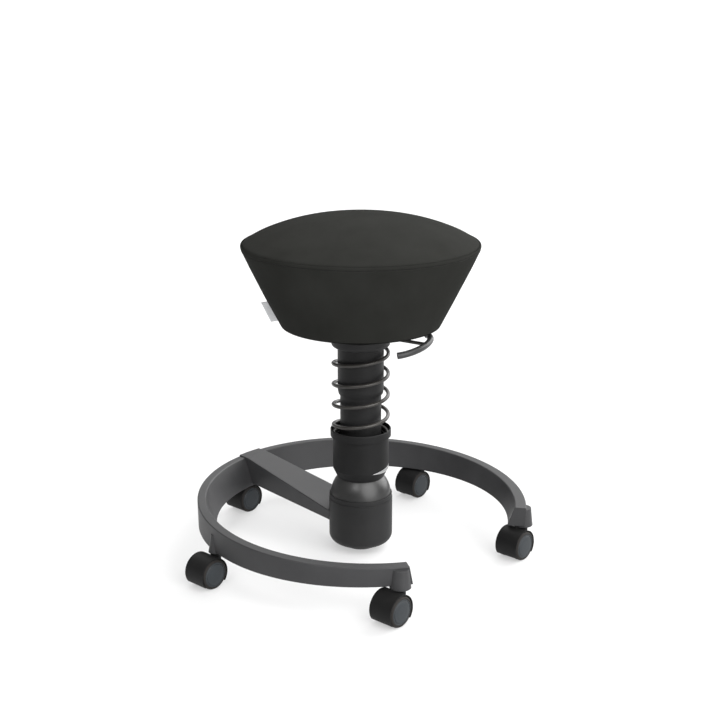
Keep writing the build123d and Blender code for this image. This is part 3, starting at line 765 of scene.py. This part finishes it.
    def side_outline(self) -> np.ndarray:
        """Outline of the side panel, from the seam down over the rim to the hem and back up inside.

        Returns:
            Radius and height of each point.
        """
        inner = 1.3 * self.fabric
        corners = [
            (self.seam_r - 6 * MM, self.seam_z - 3.2 * MM, 0),
            (self.seam_r - 0.6 * MM, self.seam_z - 2.4 * MM, 0.8 * MM),
            (self.seam_r - 0.2 * MM, self.seam_z + 0.4 * MM, 1.2 * MM),
            (self.rim + 0.2 * MM, self.seam_z - 2.0 * MM, 2.0 * MM),
            (self.rim - 0.3 * MM, self.seam_z - 5.9 * MM, 0.5 * MM),
            (self.rim - 1.7 * MM, self.seam_z - 6.9 * MM, 0.3 * MM),
            (self.rim - 0.8 * MM, self.seam_z - 8.1 * MM, 0.6 * MM),
            (self.foot_r + 3.4 * MM, self.foot_z + 5.5 * MM, 5 * MM),
            (self.foot_r + 0.4 * MM, self.foot_z, 2.6 * MM),
            (self.foot_r - 10 * MM, self.foot_z, 0.8 * MM),
            (self.foot_r - 10.5 * MM, self.foot_z + self.fabric, 0.6 * MM),
            (self.foot_r - 1 * MM, self.foot_z + self.fabric, 1 * MM),
            (self.foot_r + 3.4 * MM - inner, self.foot_z + 6 * MM, 2 * MM),
            (self.rim - 0.2 * MM - inner, self.seam_z - 7 * MM, 1 * MM),
            (self.seam_r - 6.5 * MM, self.seam_z - 4.6 * MM, 0),
        ]
        return rounded_outline(corners)

    def side_panel(self) -> bpy.types.Object:
        """Side panel: the outline carried round the axis, with a soft swell between rim and foot,
        slow unevenness of the foam, and a shallow upright seam by the label.

        Returns:
            The panel.
        """
        outline = self.side_outline()
        lengths = np.linalg.norm(np.diff(outline, axis=0), axis=1)
        cuts = [np.linspace(outline[i], outline[i + 1], max(1, int(n / (5 * MM))), endpoint=False)
                for i, n in enumerate(lengths)]
        outline = np.concatenate([*cuts, outline[-1:]])
        points = turned_points(outline, self.axis, self.sides)
        turn = np.linspace(0, FULL_TURN, self.sides, endpoint=False)[None, :]
        height = points[:, :, 2]
        middle = smoothstep(self.foot_z + 6 * MM, self.foot_z + 50 * MM, height) * (
            1 - smoothstep(self.seam_z - 40 * MM, self.seam_z - 8 * MM, height))
        uneven = 0.35 * MM * np.sin(3 * turn + 0.7) * np.sin(height * 31)
        uneven = uneven + 0.25 * MM * np.sin(7 * turn + height * 19)
        apart = (turn - self.label_turn + math.pi) % FULL_TURN - math.pi
        groove = -0.8 * MM * np.exp(-((apart / math.radians(0.7)) ** 2))
        push = (uneven + 0.6 * MM) * middle + groove * smoothstep(self.foot_z, self.foot_z + 10 * MM, height)
        points[:, :, 0] += push * np.cos(turn)
        points[:, :, 1] += push * np.sin(turn)
        piece = mesh_object("seat_side_panel", points, grid_faces(len(outline), self.sides, Wrap.BOTH))
        dress(piece, FINISHES["black_fabric"].material(self.effects))
        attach(piece, "seat")
        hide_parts("seat_cover_side")
        return piece

    def topstitch(self) -> bpy.types.Object:
        """Row of stitches below the rim: each stitch is a short thread, a stretched ball sunk in the cloth.

        Returns:
            The row of stitches.
        """
        radius, height = self.rim - 1.15 * MM, self.seam_z - 6.9 * MM
        pitch = self.stitch_length + self.stitch_gap
        count = int(FULL_TURN * radius / pitch)
        along = np.linspace(-1, 1, 6)
        across = np.linspace(0, FULL_TURN, 6, endpoint=False)
        thick = 0.42 * MM * np.sqrt(np.clip(1 - (along * 0.96) ** 2, 0, 1))
        turn = (np.arange(count) * FULL_TURN / count)[:, None, None]
        angle = turn + along[None, :, None] * self.stitch_length / 2 / radius + 0 * across
        out = radius + thick[None, :, None] * np.cos(across) - 0.12 * MM
        place = np.stack([self.axis.x + out * np.cos(angle), self.axis.y + out * np.sin(angle),
                          height + thick[None, :, None] * np.sin(across) + 0 * angle], axis=-1)
        one = grid_faces(len(along), len(across), Wrap.ACROSS)
        caps = np.array([[0, 1, 2, 3], [0, 3, 4, 5]])
        caps = np.concatenate([caps, caps[:, ::-1] + (len(along) - 1) * len(across)])
        single = np.concatenate([one, caps])
        size = len(along) * len(across)
        faces = (single[None] + (np.arange(count) * size)[:, None, None]).reshape(-1, 4)
        piece = mesh_object("seat_topstitch", place, faces)
        dress(piece, THREAD.material(self.effects))
        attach(piece, "seat")
        return piece

    def label(self) -> bpy.types.Object:
        """Blank woven label folded double and sewn into the upright seam: a thin leaf that curls a little.

        Returns:
            The label.
        """
        low, high, reach = self.foot_z + 4.5 * MM, self.foot_z + 38.5 * MM, 15.5 * MM
        slope = (self.rim - self.foot_r - 3.4 * MM) / (self.seam_z - self.foot_z - 12 * MM)
        up = np.linspace(0, 1, 12)[:, None]
        out = np.linspace(-0.25, 1, 10)[None, :]
        height = low + (high - low) * up + 0 * out
        base = self.foot_r + 3.0 * MM + slope * (height - self.foot_z - 5.5 * MM)
        curl = 1.2 * MM * np.clip(out, 0, 1) ** 2 * np.sin(0.8 + 2.2 * up)
        radius = base + reach * out
        turn = self.label_turn + curl / radius
        places = []
        for side, flip in ((-0.35 * MM, 1), (0.35 * MM, -1)):
            angle = turn + side / radius
            leaf = np.stack([self.axis.x + radius * np.cos(angle), self.axis.y + radius * np.sin(angle),
                             height - 0.35 * reach * out * slope], axis=-1)
            places.append(leaf[:, ::flip])
        ring = np.concatenate(places, axis=1)
        faces = grid_faces(ring.shape[0], ring.shape[1], Wrap.ACROSS)
        width = ring.shape[1]
        half = width // 2
        first = np.arange(half - 1)
        end = (ring.shape[0] - 1) * width
        lid = np.stack([first, first + 1, width - 2 - first, width - 1 - first], axis=1)
        faces = np.concatenate([faces, lid[:, ::-1], lid + end])
        piece = mesh_object("seat_label", ring, faces)
        dress(piece, LABEL.material(self.effects))
        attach(piece, "seat")
        return piece

    def build(self) -> list[bpy.types.Object]:
        """Builds every piece of the seat."""
        return [self.cushion(), self.side_panel(), self.topstitch(), self.label()]


# ---------------------------------------------------------------- column


@dataclass
class Column:
    """Sprung column: the coil spring with a closed foot turn and the blank foil on the spring cup."""

    axis: Vector
    effects: EffectLibrary
    wire: float = 3.35 * MM
    proud: float = 0.2 * MM
    pitch: float = 37 * MM
    start_turn: float = math.radians(-18.6)
    closed_turns: float = 0.78
    steps_per_turn: int = 72
    wire_sides: int = 16
    travel: float = 40 * MM
    cup_radius: float = 48.9 * MM
    chamfer_height: float = 15.5 * MM
    chamfer_depth: float = 7.4 * MM
    foil_below: float = 3.3 * MM
    foil_above: float = 5.1 * MM
    foil_span: tuple[float, float] = (math.radians(246), math.radians(354))
    foil_skins: tuple[float, float] = (0.03 * MM, 0.16 * MM)

    def spring_path(self) -> np.ndarray:
        """Centre line of the spring: a helix whose height stays level over the closed foot turn.

        Returns:
            Points along the wire.
        """
        low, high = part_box("coil_spring")
        radius = (high.x - low.x) / 2 + self.proud - self.wire
        foot, top = low.z + self.wire, high.z - self.wire
        active = (top - foot) / self.pitch
        turns = np.arange(-self.closed_turns, active, 1 / self.steps_per_turn)
        height = np.clip(turns, 0, active) * self.pitch
        soft = np.ones(9) / 9
        padded = np.concatenate([np.full(4, height[0]), height, np.full(4, height[-1])])
        height = foot + np.convolve(padded, soft, mode="valid")
        angle = self.start_turn + FULL_TURN * turns
        across, along = self.axis.x + radius * np.cos(angle), self.axis.y + radius * np.sin(angle)
        return np.stack([across, along, height], axis=1)

    def spring(self) -> bpy.types.Object:
        """Coil spring: a circle swept along the wire's path, with rounded ends.

        Returns:
            The spring.
        """
        path = self.spring_path()
        radius = np.full(len(path), self.wire)
        radius[[0, -1]] = 0.0
        radius[[1, -2]] = 0.85 * self.wire
        points = swept_points(path, radius, self.wire_sides)
        piece = mesh_object("spring_coil", points, grid_faces(len(path), self.wire_sides, Wrap.ACROSS))
        dress(piece, FINISHES["black_steel"].material(self.effects))
        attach(piece, "strut")
        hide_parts("coil_spring")
        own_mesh(piece)
        return piece

    def foil(self) -> bpy.types.Object:
        """Plain foil patch round the edge of the spring cup's chamfer: a leaf as tall as sin(u) along its length,
        bent over the edge, with the cup's radius above it and the chamfer's below.

        Returns:
            The patch.
        """
        low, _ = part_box("spring_cup")
        edge_z, slope, steps = low.z + self.chamfer_height, self.chamfer_depth / self.chamfer_height, 72
        turn = np.linspace(*self.foil_span, steps)[None, :]
        leaf = np.sin(np.linspace(0, math.pi, steps))[None, :]
        offset = np.linspace(-self.foil_below, self.foil_above, 12)[:, None] * leaf
        shells = []
        for proud in self.foil_skins:
            radius = self.cup_radius + proud + np.minimum(offset, 0) * slope
            shells.append(np.stack([self.axis.x + radius * np.cos(turn), self.axis.y + radius * np.sin(turn),
                                    edge_z + offset + 0 * turn], axis=-1))
        ring = np.concatenate([shells[0], shells[1][::-1]])
        piece = mesh_object("cup_foil", ring, grid_faces(ring.shape[0], ring.shape[1], Wrap.DOWN))
        dress(piece, FOIL.material(self.effects))
        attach(piece, "cup")
        return piece

    def build(self) -> list[bpy.types.Object]:
        """Builds every piece of the column."""
        return [self.spring(), self.foil()]


# ---------------------------------------------------------------- frame and studio


@dataclass
class CadFinishes:
    """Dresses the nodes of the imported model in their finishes."""

    effects: EffectLibrary

    def build(self) -> dict[str, bpy.types.Material]:
        """Gives each CAD node the finish of its slot; the lever grip gets a lighter copy with a painted highlight,
        and the spring cup a darker copy with painted shade.

        Returns:
            The materials by slot or node.
        """
        slots = {entry["node"]: entry["material_slot"] for entry in frame["record"]["subparts"]}
        materials = {slot: FINISHES[slot].material(self.effects) for slot in sorted(set(slots.values()))}
        # The lever grip's copy is painted lighter to stand in for its highlight.
        materials["lever_grip"] = GRIP_GLOSS_AND_PAINTED_HIGHLIGHT.material(self.effects)
        # The spring cup's copy is painted darker to stand in for shade.
        materials["spring_cup"] = CUP_PAINTED_SHADE.material(self.effects)
        for node, slot in slots.items():
            dress(frame["nodes"][node], materials.get(node, materials[slot]))
        return materials


@dataclass
class Studio:
    """Pale floor, soft lights and the camera."""

    axis: Vector
    camera_turn: float = math.radians(-48.22)
    camera_reach: float = 2.150
    camera_height: float = 0.966
    camera_pitch: float = math.radians(16.08)
    lens: float = 65.0
    sensor: float = 36.0
    shift: float = -0.001
    sky_light: float = 0.06
    floor_half: float = 200.0
    floor_albedo: float = 0.4
    floor_glow: float = 0.45

    def floor(self) -> bpy.types.Object:
        """Wide pale floor.

        Returns:
            The floor.
        """
        half = self.floor_half
        corners = np.array([[-half, -half, 0], [half, -half, 0], [half, half, 0], [-half, half, 0]])
        piece = mesh_object("studio_floor", corners, np.array([[0, 1, 2, 3]]), closed=False)
        material = bpy.data.materials.new("pale_floor")
        material.use_nodes = True
        shader = material.node_tree.nodes["Principled BSDF"]
        shader.inputs["Base Color"].default_value = (*[self.floor_albedo] * 3, 1)
        shader.inputs["Emission Color"].default_value = (1, 1, 1, 1)
        shader.inputs["Emission Strength"].default_value = self.floor_glow
        shader.inputs["Roughness"].default_value = 0.75
        shader.inputs["Specular IOR Level"].default_value = 0.2
        dress(piece, material)
        return piece

    def sun(self, name: str, turn: float, height: float, spread: float, power: float) -> None:
        """Broad soft light from far away.

        Args:
            name: Name of the light.
            turn: Direction it comes from, in degrees from the camera's side, towards the camera's right.
            height: Its height over the horizon, in degrees.
            spread: How wide it looks, in degrees.
            power: Its strength.
        """
        data = bpy.data.lights.new(name, "SUN")
        data.energy, data.angle = power, math.radians(spread)
        lamp = bpy.data.objects.new(name, data)
        angle, rise = self.camera_turn + math.radians(turn), math.radians(height)
        source = Vector((math.sin(angle) * math.cos(rise), -math.cos(angle) * math.cos(rise), math.sin(rise)))
        lamp.rotation_euler = (-source).to_track_quat("-Z", "Y").to_euler()
        bpy.context.scene.collection.objects.link(lamp)

    def camera(self) -> None:
        """Camera at the viewing angle of the object."""
        data = bpy.data.cameras.new("camera")
        data.lens, data.sensor_width, data.shift_x = self.lens, self.sensor, self.shift
        view = bpy.data.objects.new("camera", data)
        turn = self.camera_turn
        view.location = (
            self.axis.x + self.camera_reach * math.sin(turn),
            self.axis.y - self.camera_reach * math.cos(turn),
            self.camera_height,
        )
        view.rotation_euler = (math.pi / 2 - self.camera_pitch, 0, turn)
        bpy.context.scene.collection.objects.link(view)
        bpy.context.scene.camera = view

    def build(self) -> None:
        """Sets up the floor, the lights, the surroundings and the camera."""
        self.floor()
        self.sun("top_soft", 60, 74, 75, 1.5)
        self.sun("front_right_soft", 38, 28, 60, 3.4)
        self.sun("front_glint", -25, 42, 22, 0.85)
        self.sun("rear_right_soft", 130, 30, 60, 3.1)
        self.sun("rear_soft", 180, 40, 60, 1.1)
        self.sun("left_fill", -90, 35, 90, 0.35)
        world = bpy.data.worlds.new("studio_world")
        world.use_nodes = True
        graph = Graph(world.node_tree)
        seen = graph.add("ShaderNodeLightPath").outputs["Is Camera Ray"]
        back = world.node_tree.nodes["Background"]
        back.inputs["Color"].default_value = (1, 1, 1, 1)
        graph.put(back.inputs["Strength"], graph.math("MAXIMUM", seen, self.sky_light))
        bpy.context.scene.world = world
        bpy.context.scene.view_settings.view_transform = "Standard"
        self.camera()


def main() -> None:
    """Builds the stool and its studio in order."""
    logging.basicConfig(level=logging.INFO, format="%(name)s: %(message)s")
    low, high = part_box("hub_housing")
    axis = (low + high) / 2
    effects = EffectLibrary()
    materials = CadFinishes(effects).build()
    LOG.info("dressed the CAD nodes in %d finishes", len(materials))
    for assembly in (Seat(axis, effects), Column(axis, effects)):
        for piece in assembly.build():
            LOG.info("built %s with %d faces", piece.name, len(piece.data.polygons))
    Studio(axis).build()


if __name__ == "__main__":
    main()
